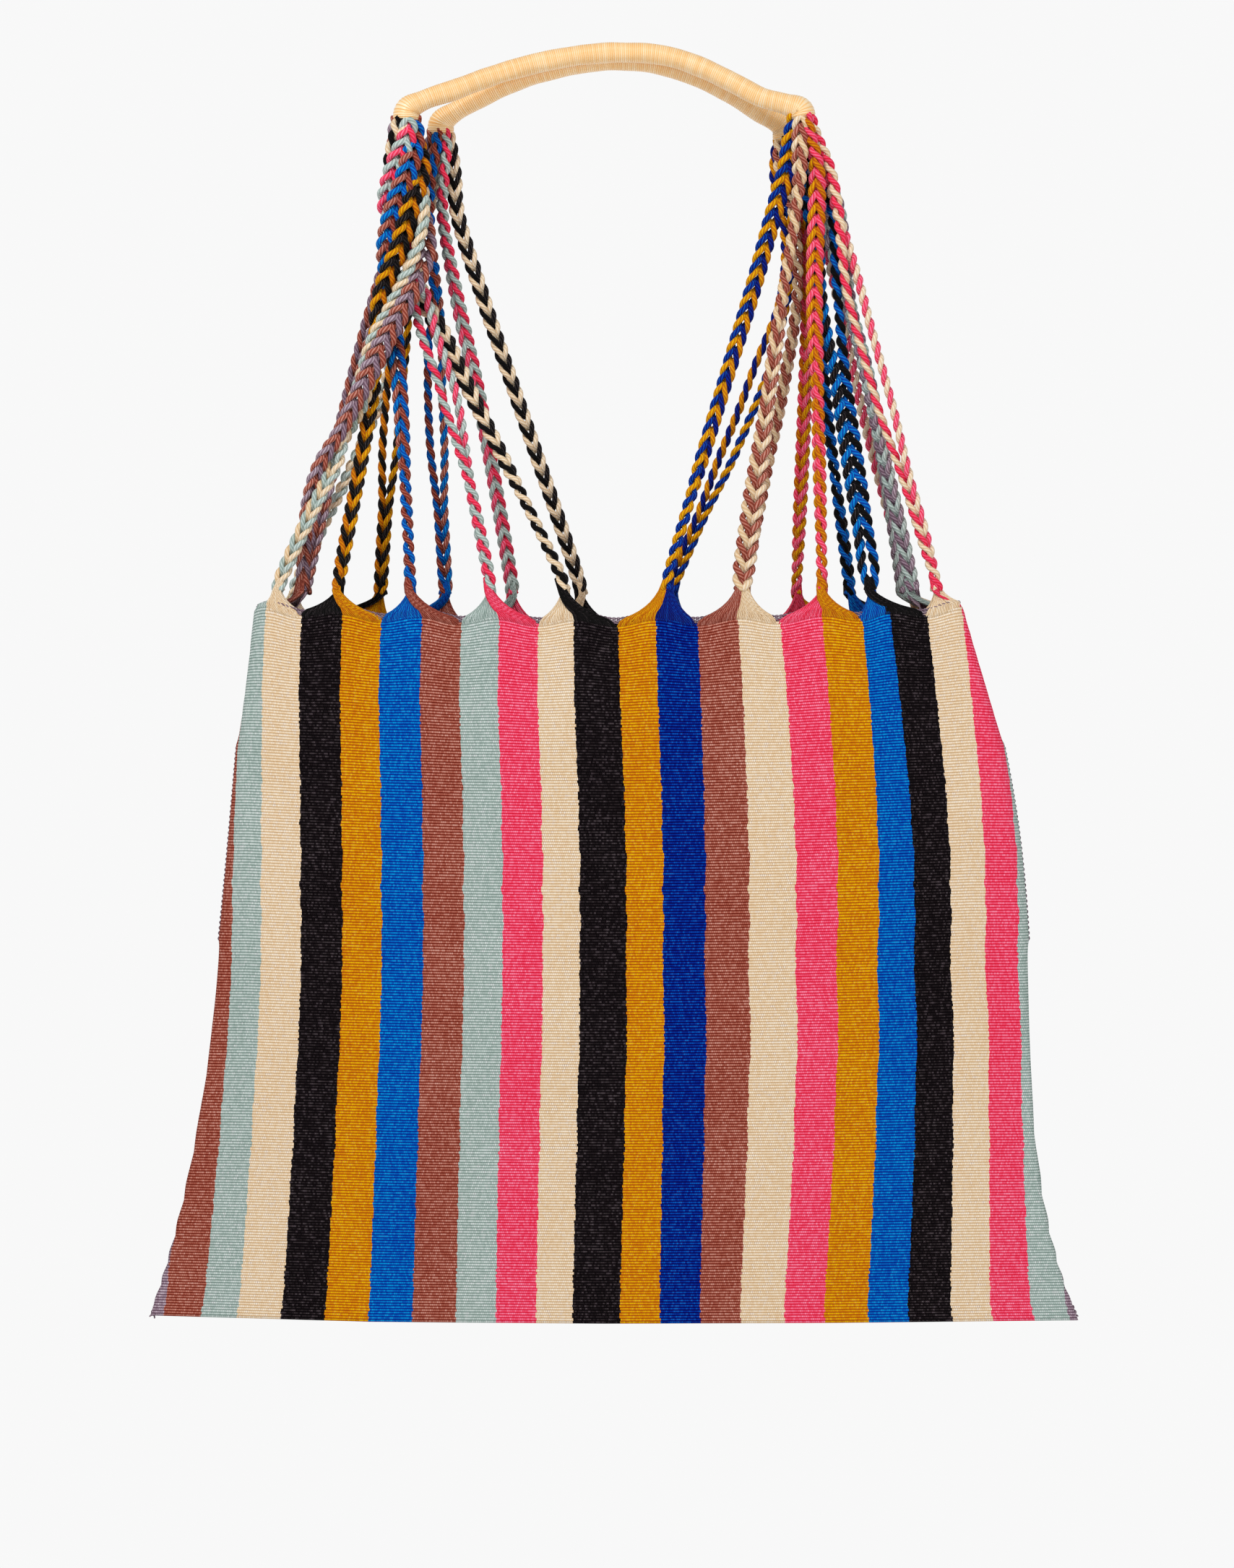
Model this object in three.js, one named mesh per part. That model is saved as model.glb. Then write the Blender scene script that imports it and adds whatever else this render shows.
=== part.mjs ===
// A woven hammock bag: a long striped cloth folded at the bottom and sewn up both sides,
// whose warp threads are gathered at the rim into braided cords, carried by two wrapped grips.
// Millimetres, +Z up, front towards -Y. The origin is under the middle of the front grip,
// where a hook or a hand carries the bag.
import * as THREE from 'three';

// ---- Driving dimensions ----
const FOLD_Z = -654.5; // the folded bottom edge
const RIM_Z = -284; // the rim at the sides of the mouth
const RIM_DIP = 6; // how much lower the rim is at its middle
const WALL = 1.6; // cloth thickness
const CLOTH_WIDTH = 482; // one panel, side seam to side seam, at the fold
const RIM_PUCKER = 30; // how much narrower the gathers draw the cloth at the rim
const MOUTH_HALF_DEPTH = 37;
const BOW = 4; // how far the front bows out at the rim
const CORNER_ROUND = 0.34; // corner rounding as a share of the corner's depth
const RING_HEIGHTS = [0, 0.05, 0.14, 0.3, 0.5, 0.75, 1]; // sections; hollow from the second up
const SMALLEST_INSET = 0.5; // the least the side seams are folded in
const ARM_STEPS = 3; // straight pieces from a seam's tip to its rounded corner
const BEND_STEPS = 4; // straight pieces round the corner
const FRONT_STEPS = 12; // straight pieces across the front

const SEAM_RADIUS = 0.8;
const SEAM_STAND_OFF = 3; // how far outside the cloth's joined edges the stitching stands
const SEAM_FROM = 0.1; // shares of the bag's height where the stitching starts and ends
const SEAM_TO = 0.985;
const SEAM_STEPS = 10;

const LILAC_WIDTH = 8; // the narrow stripe beside each side seam
const STRIPES_BETWEEN = 22; // full stripes between the two lilac ones
const GAP = 0.35; // clearance between neighbouring solids
const HEADING_HEIGHT = 1.2;
const HEADING_ENDS = 0.012; // share of the rim left free at each end of the heading
const HEADING_STEPS = 30;
const GATHER_ACROSS = 5; // points along each long side of a gather's base
const GATHER_TIP_RADIUS = 2;
const SEAM_SIDE_GAP = 1.75; // the outermost gathers stay this far from the side seams

const CORD_RADIUS = 2.8;
const CORD_SIDES = 8;
const CORD_STEPS = 14;
const FOOT_Z = -272; // the height of both folding axes and of every cord's foot
const BUNDLE_RADIUS = 6.8; // six cords in a ring below each grip end
const CORD_CLEAR = 2.2; // from a grip's end face down to the cords' own ends
const CORD_LEAD = 5; // how far each cord first runs straight down

const WRAP_RADIUS = 5.2;
const WRAP_WALL = 1.3;
const WRAP_SIDES = 10;
const CORE_RADIUS = 2.9;
const CORE_SIDES = 6;
const GRIP_STEPS = 22;

const COLOURS = {
  lilac: 0x8f7b86, brown: 0x9b5a4c, aqua: 0xa5b2ac, cream: 0xe3c9a6, black: 0x171214,
  mustard: 0xc88212, blue: 0x0458a0, pink: 0xe74f6d, royal: 0x042a7b, straw: 0xefcf9d,
};

// ---- Small helpers ----
const lerp = THREE.MathUtils.lerp;
const radians = THREE.MathUtils.degToRad;
const vector = ([x, y, z]) => new THREE.Vector3(x, y, z);

function finish(colour) {
  return new THREE.MeshStandardMaterial({ color: COLOURS[colour], roughness: 0.9, metalness: 0 });
}

// A closed mesh from rings of points with the same count, joined in order, with the caps given.
function loft(rings, caps) {
  const count = rings[0].length;
  const position = rings.flat().flatMap((p) => [p.x, p.y, p.z]);
  const index = [];
  for (let r = 0; r < rings.length - 1; r++) {
    const [here, next] = [r * count, (r + 1) * count];
    for (let i = 0; i < count; i++) {
      const j = (i + 1) % count;
      index.push(here + i, here + j, next + j);
      index.push(here + i, next + j, next + i);
    }
  }
  index.push(...caps);
  const geometry = new THREE.BufferGeometry();
  geometry.setAttribute('position', new THREE.Float32BufferAttribute(position, 3));
  geometry.setIndex(index);
  return facingOut(geometry);
}

// Turns the faces over if they enclose a negative volume.
function facingOut(geometry) {
  const p = geometry.attributes.position;
  const index = geometry.index.array;
  const [a, b, c] = [new THREE.Vector3(), new THREE.Vector3(), new THREE.Vector3()];
  let volume = 0;
  for (let i = 0; i < index.length; i += 3) {
    a.fromBufferAttribute(p, index[i]);
    b.fromBufferAttribute(p, index[i + 1]);
    c.fromBufferAttribute(p, index[i + 2]);
    volume += a.dot(b.cross(c));
  }
  if (volume < 0) {
    for (let i = 0; i < index.length; i += 3) {
      [index[i + 1], index[i + 2]] = [index[i + 2], index[i + 1]];
    }
  }
  geometry.computeVertexNormals();
  return geometry;
}

// Caps for a loft whose first and last rings are convex.
function fanCaps(ringCount, count) {
  const caps = [];
  const top = (ringCount - 1) * count;
  for (let i = 1; i < count - 1; i++) {
    caps.push(0, i + 1, i, top, top + i, top + i + 1);
  }
  return caps;
}

// A round bar or tube along a smooth curve through the points.
function tube(points, radius, { sides = 8, steps = 12, hole = 0 } = {}) {
  const section = new THREE.Shape();
  section.absarc(0, 0, radius, 0, 2 * Math.PI, false);
  if (hole > 0) {
    const bore = new THREE.Path();
    bore.absarc(0, 0, hole, 0, 2 * Math.PI, true);
    section.holes.push(bore);
  }
  const extrudePath = new THREE.CatmullRomCurve3(points.map(vector), false, 'centripetal');
  return new THREE.ExtrudeGeometry(section, {
    steps, extrudePath, curveSegments: sides / 2, bevelEnabled: false,
  });
}

// ---- The bag's shape ----
// Where the silhouette's left or right edge is, from the fold (t = 0) to the rim (t = 1):
// the width at the rim, a straight taper, a flare near the fold and a bulge above the middle.
const EDGES = {
  left: { rim: 182.5, taper: 31, flare: 21, bulge: 0 },
  right: { rim: 189.5, taper: 24, flare: 34, bulge: 19 },
};

function edge(side, t) {
  const { rim, taper, flare, bulge } = EDGES[side];
  return rim + taper * (1 - t) + flare * (1 - t) ** 4 + bulge * Math.sin(Math.PI * t ** 1.4);
}

function halfDepth(t) {
  return WALL + (MOUTH_HALF_DEPTH - WALL) * (1 - (1 - t) ** 1.5);
}

function rimZ(x) {
  const reach = x < 0 ? EDGES.left.rim : EDGES.right.rim;
  return RIM_Z - RIM_DIP * Math.max(0, 1 - (x / reach) ** 2);
}

// How far the side seam is folded in from the edge, so that the cloth keeps its width.
function seamInset(t) {
  const depth = halfDepth(t) - BOW * t;
  const spare = (CLOTH_WIDTH - RIM_PUCKER * t - edge('left', t) - edge('right', t)) / 2;
  return Math.sqrt(Math.max(SMALLEST_INSET ** 2, spare ** 2 - depth ** 2));
}

// One side of the front half of the section at height t: the seam's tip, the rounded corner
// and where the front begins, moved in by inset from the outer face.
function sidePoints(side, t, inset) {
  const depth = halfDepth(t) - BOW * t;
  const fold = Math.atan2(depth, seamInset(t));
  const corner = new THREE.Vector2(edge(side, t) - inset / Math.tan(fold / 2), inset - depth);
  const tip = new THREE.Vector2(edge(side, t) - seamInset(t) - inset / Math.sin(fold), 0);
  const round = CORNER_ROUND * (depth - inset);
  const armStart = corner.clone().add(tip.clone().sub(corner).setLength(round));
  const frontStart = new THREE.Vector2(corner.x - round, corner.y);
  const bend = new THREE.QuadraticBezierCurve(armStart, corner, frontStart);
  const arm = new THREE.LineCurve(tip, armStart);
  const points = [...arm.getPoints(ARM_STEPS).slice(0, -1), ...bend.getPoints(BEND_STEPS)];
  return side === 'left' ? points.map((p) => new THREE.Vector2(-p.x, p.y)) : points;
}

// The front half of the section from the right seam to the left one, as 3-D points.
function frontHalf(t, inset) {
  const right = sidePoints('right', t, inset);
  const left = sidePoints('left', t, inset).reverse();
  const [from, to] = [right.at(-1), left[0]];
  const front = [];
  for (let i = 1; i < FRONT_STEPS; i++) {
    const u = i / FRONT_STEPS;
    const x = lerp(from.x, to.x, u);
    front.push(new THREE.Vector2(x, lerp(from.y, to.y, u) - BOW * t * 4 * u * (1 - u)));
  }
  return [...right, ...front, ...left].map(
    (p) => new THREE.Vector3(p.x, p.y, lerp(FOLD_Z, rimZ(p.x), t)),
  );
}

const mirrored = (points) => points.map((p) => new THREE.Vector3(p.x, -p.y, p.z));

function clothRing(t, inset) {
  const front = frontHalf(t, inset);
  return [...front, ...mirrored(front.slice(1, -1)).reverse()];
}

// Strips across a ring, from its front points to their mirror images at the back.
function foldCap(start, count, flipped) {
  const half = count / 2;
  const caps = [];
  for (let i = 0; i < half; i++) {
    const [a, b] = [start + i, start + i + 1];
    const [c, d] = [start + ((count - i - 1) % count), start + ((count - i) % count)];
    const faces = [];
    if (i < half - 1) faces.push([a, b, c]);
    if (i > 0) faces.push([a, c, d]);
    for (const [p, q, r] of faces) caps.push(...(flipped ? [p, q, r] : [p, r, q]));
  }
  return caps;
}

function bagCloth() {
  const outer = RING_HEIGHTS.map((t) => clothRing(t, 0));
  const inner = RING_HEIGHTS.slice(1).map((t) => clothRing(t, WALL)).reverse();
  const rings = [...outer, ...inner];
  const count = rings[0].length;
  const caps = [...foldCap(0, count, false), ...foldCap((rings.length - 1) * count, count, true)];
  return loft(rings, caps);
}

// ---- The rim: arc length, headings and gathers ----
// A rim point at distance s along the front half from the left seam, at a given inset.
function rimCurve(inset) {
  const points = frontHalf(1, inset).reverse();
  const curve = new THREE.CurvePath();
  for (let i = 1; i < points.length; i++) curve.add(new THREE.LineCurve3(points[i - 1], points[i]));
  return curve;
}

const OUTER_RIM = rimCurve(0);
const INNER_RIM = rimCurve(WALL);
const RIM_LENGTH = OUTER_RIM.getLength();
const STRIPE_WIDTH = (RIM_LENGTH - 2 * LILAC_WIDTH) / STRIPES_BETWEEN;
const seamPoint = (side, t) => {
  const tip = sidePoints(side, t, 0)[0];
  const out = side === 'left' ? -1 : 1;
  return [tip.x + SEAM_STAND_OFF * out, 0, lerp(FOLD_Z, RIM_Z, t)];
};

function sideSeam(side) {
  const heights = [SEAM_FROM, ...RING_HEIGHTS.slice(2, -1), SEAM_TO];
  return tube(heights.map((t) => seamPoint(side, t)), SEAM_RADIUS, { steps: SEAM_STEPS });
}

// The twined heading that locks the last weft, a low strip standing on the rim.
function heading(back) {
  const sections = [];
  for (let i = 0; i <= HEADING_STEPS; i++) {
    const u = lerp(HEADING_ENDS, 1 - HEADING_ENDS, i / HEADING_STEPS);
    const [o, n] = [OUTER_RIM.getPointAt(u), INNER_RIM.getPointAt(u)];
    const at = (p, up) => new THREE.Vector3(p.x, back ? -p.y : p.y, p.z + GAP + up);
    sections.push([at(o, 0), at(o, HEADING_HEIGHT), at(n, HEADING_HEIGHT), at(n, 0)]);
  }
  return loft(sections, fanCaps(sections.length, 4));
}

// The cone of warp threads over one pair of stripes, from the heading up to its cord's foot.
function gather(pair, back, foot) {
  const startOf = (stripe) => (stripe === 0 ? 0 : LILAC_WIDTH + (stripe - 1) * STRIPE_WIDTH);
  const clearFrom = pair === 0 ? SEAM_SIDE_GAP : GAP;
  const clearTo = pair === PAIRS.length - 1 ? SEAM_SIDE_GAP : GAP;
  const from = (startOf(2 * pair) + clearFrom) / RIM_LENGTH;
  const to = (Math.min(RIM_LENGTH, startOf(2 * pair + 2)) - clearTo) / RIM_LENGTH;
  const across = GATHER_ACROSS;
  const side = (curve) => Array.from({ length: across }, (_, i) => {
    const p = curve.getPointAt(lerp(from, to, i / (across - 1)));
    return new THREE.Vector3(p.x, back ? -p.y : p.y, p.z + 2 * GAP + HEADING_HEIGHT);
  });
  const base = [...side(OUTER_RIM), ...side(INNER_RIM).reverse()];
  const run = base[across - 1].clone().sub(base[0]);
  const turn = back ? -1 : 1;
  const outward = Math.atan2(run.y, run.x) - turn * Math.PI / 2;
  const tip = base.map((_, i) => {
    const angle = outward + turn * (i - (across - 1) / 2) * (2 * Math.PI / base.length);
    return new THREE.Vector3(
      foot[0] + GATHER_TIP_RADIUS * Math.cos(angle),
      foot[1] + GATHER_TIP_RADIUS * Math.sin(angle),
      FOOT_Z - CORD_RADIUS - GAP,
    );
  });
  const rings = [base, tip];
  const count = base.length;
  const bottom = [];
  for (let i = 0; i < across - 1; i++) {
    const j = count - 1 - i;
    bottom.push(i, j, i + 1, i + 1, j, j - 1);
  }
  const top = [];
  for (let i = 1; i < count - 1; i++) top.push(count, count + i, count + i + 1);
  return loft(rings, [...bottom, ...top]);
}

// ---- Cords ----
// The stripe pairs from left to right, each with the slot it has in the ring below its grip
// end (degrees round the ring) and its route: [x, y, z] points, ending at the foot.
const PAIRS = ['brown_lilac', 'aqua_cream', 'black_mustard', 'blue_brown', 'aqua_pink',
  'cream_black', 'mustard_royal', 'brown_cream', 'pink_mustard', 'blue_black', 'cream_pink',
  'aqua_lilac'];

const GRIP_ENDS = {
  front_left: [-101, -13, -32],
  front_right: [104, -13, -30.5],
  back_left: [-84, 13, -35.5],
  back_right: [96, 13, -39],
};

const ROUTES = {
  front: {
    brown_lilac: { slot: 165, by: [[-102.3, -6.7, -57], [-95, -8, -75], [-90.5, -15, -97],
      [-97.5, -23.5, -120], [-111, -27, -145], [-123, -28.5, -170], [-134.5, -28.5, -193],
      [-145, -26, -210], [-151, -22.5, -230], [-154, -19, FOOT_Z]] },
    aqua_cream: { slot: 105, by: [[-95.6, -8.6, -57], [-91.5, -14.5, -75], [-94.8, -21.8, -97],
      [-105.5, -20.5, -120], [-117, -22.5, -145], [-123, -21.5, -170], [-131.5, -21.5, -193],
      [-137.3, -24, -210], [-147, -29.5, -230], [-166, -28, FOOT_Z]] },
    black_mustard: { slot: 45, by: [[-93.6, -15.2, -57], [-98, -20, -75], [-104, -21, -97],
      [-113, -18.5, -120], [-116.5, -15.3, -145],
      [-118, -16, -170], [-135, -34, FOOT_Z]] },
    blue_brown: { slot: 345, by: [[-99.6, -20.8, -57], [-106, -20, -75], [-111, -17.2, -97],
      [-109, -11.5, -120], [-104, -20, -170], [-98, -35, FOOT_Z]] },
    aqua_pink: { slot: 285, by: [[-106.8, -18.2, -57], [-110.5, -12.8, -75], [-101.5, -11.8, -97],
      [-94.5, -11, -120], [-89, -18, -142], [-79.5, -23, -170], [-57, -36, FOOT_Z]] },
    cream_black: { slot: 225, by: [[-107.2, -10.6, -57], [-102, -10, -75], [-99, -4.5, -97],
      [-94, -3.6, -120], [-82, -8.5, -141], [-68.5, -17, -170], [-19, -36.5, FOOT_Z]] },
    mustard_royal: { slot: 190, by: [[95.5, -15.5, -57], [90, -17, -75], [77.5, -20, -120],
      [62.5, -25, -170], [33, -36.5, FOOT_Z]] },
    brown_cream: { slot: 250, by: [[102, -20, -57], [100.5, -20, -75], [93.5, -22, -120],
      [86.3, -26, -170], [72, -36, FOOT_Z]] },
    pink_mustard: { slot: 310, by: [[110.8, -19.5, -57], [110.8, -20, -75], [109.5, -22, -120],
      [110.8, -27, -170], [113, -35, FOOT_Z]] },
    blue_black: { slot: 130, by: [[107.5, -10, -57], [114.5, -12.5, -75], [117.5, -16.5, -120],
      [123.5, -23, -170], [138, -34, FOOT_Z]] },
    cream_pink: { slot: 10, by: [[117, -14.5, -57], [121, -17.5, -75], [130, -20, -120],
      [143, -26, -170], [172, -29, FOOT_Z]] },
    aqua_lilac: { slot: 70, by: [[114, -7, -57], [121, -8, -75], [127, -12, -120],
      [137.5, -17, -170], [160, -19, FOOT_Z]] },
  },
  back: {
    brown_lilac: { slot: 190, by: [[-95.5, 11.5, -57], [-103, 12, -75], [-117.5, 15, -120],
      [-131.5, 20, -170], [-155, 19, FOOT_Z]] },
    aqua_cream: { slot: 70, by: [[-84.7, 19.6, -57], [-90.5, 20, -75], [-105, 21, -120],
      [-115, 27, -170], [-161, 29, FOOT_Z]] },
    black_mustard: { slot: 130, by: [[-91.8, 18, -57], [-96, 15, -75], [-102, 14, -120],
      [-108.5, 21, -170], [-116, 34, FOOT_Z]] },
    blue_brown: { slot: 250, by: [[-89, 7, -57], [-90, 9, -75], [-86.5, 12, -120],
      [-87, 20, -170], [-82, 35, FOOT_Z]] },
    aqua_pink: { slot: 310, by: [[-82, 7.6, -57], [-83, 11, -75], [-75.5, 13, -120],
      [-64.5, 21, -170], [-47, 36, FOOT_Z]] },
    cream_black: { slot: 10, by: [[-76.8, 14.5, -57], [-75.5, 14, -75], [-62, 15, -120],
      [-45, 22, -170], [-11, 36.5, FOOT_Z]] },
    mustard_royal: { slot: 150, by: [[91.5, 17, -60], [96, 17, -78], [96, 15, -115],
      [78.5, 21, -170], [36, 36.5, FOOT_Z]] },
    brown_cream: { slot: 210, by: [[93.5, 9.5, -60], [100, 10.5, -78], [101.5, 9.5, -120],
      [94, 18, -170], [74, 36, FOOT_Z]] },
    pink_mustard: { slot: 90, by: [[98.5, 19, -60], [104.5, 17, -78], [107, 15, -120],
      [106, 21, -170], [102, 35, FOOT_Z]] },
    blue_black: { slot: 270, by: [[100.5, 7.5, -60], [108, 10.5, -78], [113.5, 10.5, -120],
      [116.5, 18.5, -170], [130, 34, FOOT_Z]] },
    cream_pink: { slot: 30, by: [[105.5, 16.5, -60], [112.5, 17, -78], [123, 15, -120],
      [134, 24, -170], [161, 29, FOOT_Z]] },
    aqua_lilac: { slot: 330, by: [[107.5, 9, -60], [115.5, 10.5, -78], [127, 8.5, -120],
      [140.5, 17, -170], [157, 19, FOOT_Z]] },
  },
};

const isLeft = (pair) => PAIRS.indexOf(pair) < PAIRS.length / 2;

// The whole route of one cord, from the ring below its grip end to its foot on the rim.
function cordRoute(side, pair) {
  const { slot, by } = ROUTES[side][pair];
  const end = GRIP_ENDS[`${side}_${isLeft(pair) ? 'left' : 'right'}`];
  const angle = radians(slot);
  const onRing = (drop) => [
    end[0] + BUNDLE_RADIUS * Math.cos(angle), end[1] + BUNDLE_RADIUS * Math.sin(angle), end[2] - drop,
  ];
  return [onRing(CORD_CLEAR), onRing(CORD_CLEAR + CORD_LEAD), ...by];
}

// A cord's foot is centred on its handle's folding axis, so it turns there without moving down.
const cord = (route) => tube(route, CORD_RADIUS, { sides: CORD_SIDES, steps: CORD_STEPS });

// ---- Grips ----
// Each grip's centre line from its left end to its right end. The ends turn straight down.
const GRIP_LINES = {
  front: [[-101, -13, -32], [-100, -12.6, -25.5], [-92, -11.5, -20.5], [-76.4, -10, -15],
    [-59.8, -8.4, -8.6], [-41.5, -7, -2.8], [-24.9, -6.2, 1.2], [-8, -5.8, 3.9], [10, -5.7, 5],
    [26.6, -5.9, 4.2], [39.8, -6.5, 1.4], [53.1, -7.4, -3.6], [68, -9, -11.1], [83, -10.8, -19],
    [95, -12, -22.5], [102.5, -12.7, -25.5], [104, -13, -30.5]],
  back: [[-84, 13, -35.5], [-83, 12.4, -29], [-76, 11.2, -23.5], [-64.7, 9.6, -17.4],
    [-48.1, 7.8, -9.6], [-31.5, 6.6, -4], [-15, 5.9, 0], [4, 5.7, 2.2], [22, 5.9, 1.6],
    [38, 6.6, -2], [53, 7.6, -7.6], [68, 9.2, -15], [82, 11, -24], [94.2, 12.5, -31.5],
    [96, 13, -39]],
};

function gripWrap(side) {
  return tube(GRIP_LINES[side], WRAP_RADIUS, {
    sides: WRAP_SIDES, steps: GRIP_STEPS, hole: WRAP_RADIUS - WRAP_WALL,
  });
}

function gripCore(side) {
  return tube(GRIP_LINES[side], CORE_RADIUS, { sides: CORE_SIDES, steps: GRIP_STEPS });
}

// ---- Assembly ----
const bag = new THREE.Group();

function add(parent, name, geometry, colour) {
  const mesh = new THREE.Mesh(geometry, finish(colour));
  mesh.name = name;
  parent.add(mesh);
}

add(bag, 'bag_cloth', bagCloth(), 'cream');
add(bag, 'left_side_seam', sideSeam('left'), 'lilac');
add(bag, 'right_side_seam', sideSeam('right'), 'lilac');

for (const side of ['front', 'back']) {
  const back = side === 'back';
  const handle = new THREE.Group();
  bag.add(handle);
  add(bag, `${side}_rim_heading`, heading(back), 'lilac');
  add(handle, `${side}_grip_wrap`, gripWrap(side), 'straw');
  add(handle, `${side}_grip_core`, gripCore(side), 'cream');
  PAIRS.forEach((pair, i) => {
    const route = cordRoute(side, pair);
    const colour = pair.split('_')[0];
    add(bag, `${side}_gather_${pair}`, gather(i, back, route.at(-1)), colour);
    add(handle, `${side}_cord_${pair}`, cord(route), colour);
  });
}

export default bag;
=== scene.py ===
"""A striped hammock bag hanging by its two wrapped grips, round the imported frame.

Every length in the tables below is in millimetres and is turned into metres by MM.
"""
import math

import bpy
import numpy as np
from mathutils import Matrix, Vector, noise


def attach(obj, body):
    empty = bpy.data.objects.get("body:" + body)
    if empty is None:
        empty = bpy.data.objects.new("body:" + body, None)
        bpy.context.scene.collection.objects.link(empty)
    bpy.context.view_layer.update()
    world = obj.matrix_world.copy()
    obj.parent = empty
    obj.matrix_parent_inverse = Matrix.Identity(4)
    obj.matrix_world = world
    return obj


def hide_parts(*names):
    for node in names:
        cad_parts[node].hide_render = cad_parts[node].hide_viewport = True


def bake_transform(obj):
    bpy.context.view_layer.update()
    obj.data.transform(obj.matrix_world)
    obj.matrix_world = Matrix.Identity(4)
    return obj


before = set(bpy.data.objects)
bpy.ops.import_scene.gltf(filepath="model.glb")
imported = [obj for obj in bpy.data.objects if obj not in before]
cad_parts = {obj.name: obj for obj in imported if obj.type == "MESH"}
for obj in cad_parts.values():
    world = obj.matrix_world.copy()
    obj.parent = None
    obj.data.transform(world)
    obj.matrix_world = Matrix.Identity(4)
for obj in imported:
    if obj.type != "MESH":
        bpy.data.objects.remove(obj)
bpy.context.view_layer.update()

MM = 0.001

# ---- The bag's shape, as in the solids ----
FOLD_Z = -654.5
RIM_Z = -284
RIM_DIP = 6
WALL = 1.6
CLOTH_THICKNESS = 1.2
CLOTH_WIDTH = 482
RIM_PUCKER = 30
MOUTH_HALF_DEPTH = 37
BOW = 4
CORNER_ROUND = 0.34
FOOT_Z = -272

# Silhouette of the left and right side: half width at the rim, taper, flare at the fold, bulge.
EDGES = {"left": (182.5, 31, 21, 0), "right": (189.5, 24, 34, 19)}

# The warp stripes from the left seam to the right one: yarn, and width at the fold, halfway up
# and at the rim.
STRIPES = [
    ("lilac", 8, 8, 8),
    ("brown", 20.3, 20.8, 19.5),
    ("aqua", 20, 16.9, 16.4),
    ("cream", 21.4, 20.5, 18.9),
    ("black", 22.9, 22.7, 23.7),
    ("mustard", 23.7, 22.3, 22.8),
    ("blue", 22.1, 21.9, 22.8),
    ("brown", 22.3, 21.7, 21.8),
    ("aqua", 20.8, 21, 21.7),
    ("pink", 21.3, 22.4, 22.8),
    ("cream", 19.3, 20.7, 20.9),
    ("black", 23, 23.9, 23.9),
    ("mustard", 21.7, 20.9, 22.5),
    ("royal", 20, 21.8, 23.2),
    ("brown", 20.9, 24.1, 23.2),
    ("cream", 22.2, 25.1, 23.4),
    ("pink", 21.9, 23.4, 24.9),
    ("mustard", 21.4, 20.9, 22.1),
    ("blue", 20.9, 20.2, 15.2),
    ("black", 23.1, 20, 21.9),
    ("cream", 21.2, 19.3, 20.3),
    ("pink", 19.9, 16, 17.4),
    ("aqua", 16.3, 20.2, 17.3),
    ("lilac", 7.3, 7.3, 7.3),
]

# ---- Cords and grips ----
GRIP_RADIUS = 5.1
KNOB_RADIUS = 6.7
WINDING_PITCH = 1.05
TWIST_PERIOD = 12.5
ROPES_APART = 7.6

# How far apart a cord's two ropes are, how wide each rope's strands swing and how thick
# they are: at the foot, at the top of the cords and where a cord lies wide.
CORD_FOOT = np.array([3.5, 0.95, 1.32])
CORD_TOPS = {
    ("front", "left"): np.array([5.4, 1.75, 1.55]),
    ("front", "right"): np.array([4.4, 1.3, 1.45]),
    ("back", "left"): np.array([3.8, 1.0, 1.28]),
    ("back", "right"): np.array([3.8, 1.0, 1.28]),
}
CORD_WIDE = np.array([5.3, 1.9, 1.62])
STRAND_DEPTH = 1.65
ROLLS = {"V": 0, "W": 0, "/": 90, "A": 180, "M": 180, "\\": 270}

GRIP_ENDS = {
    ("front", "left"): (-101, -13, -32),
    ("front", "right"): (104, -13, -30.5),
    ("back", "left"): (-84, 13, -35.5),
    ("back", "right"): (96, 13, -39),
}

GRIP_LINES = {
    "front": [
        (-101, -13, -32), (-100, -12.6, -25.5), (-92, -11.5, -20.5), (-76.4, -10, -15),
        (-59.8, -8.4, -8.6), (-41.5, -7, -2.8), (-24.9, -6.2, 1.2), (-8, -5.8, 3.9),
        (10, -5.7, 5), (26.6, -5.9, 4.2), (39.8, -6.5, 1.4), (53.1, -7.4, -3.6),
        (68, -9, -11.1), (83, -10.8, -19), (95, -12, -22.5), (102.5, -12.7, -25.5),
        (104, -13, -30.5),
    ],
    "back": [
        (-84, 13, -35.5), (-83, 12.4, -29), (-76, 11.2, -23.5), (-64.7, 9.6, -17.4),
        (-48.1, 7.8, -9.6), (-31.5, 6.6, -4), (-15, 5.9, 0), (4, 5.7, 2.2),
        (22, 5.9, 1.6), (38, 6.6, -2), (53, 7.6, -7.6), (68, 9.2, -15),
        (82, 11, -24), (94.2, 12.5, -31.5), (96, 13, -39),
    ],
}

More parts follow.
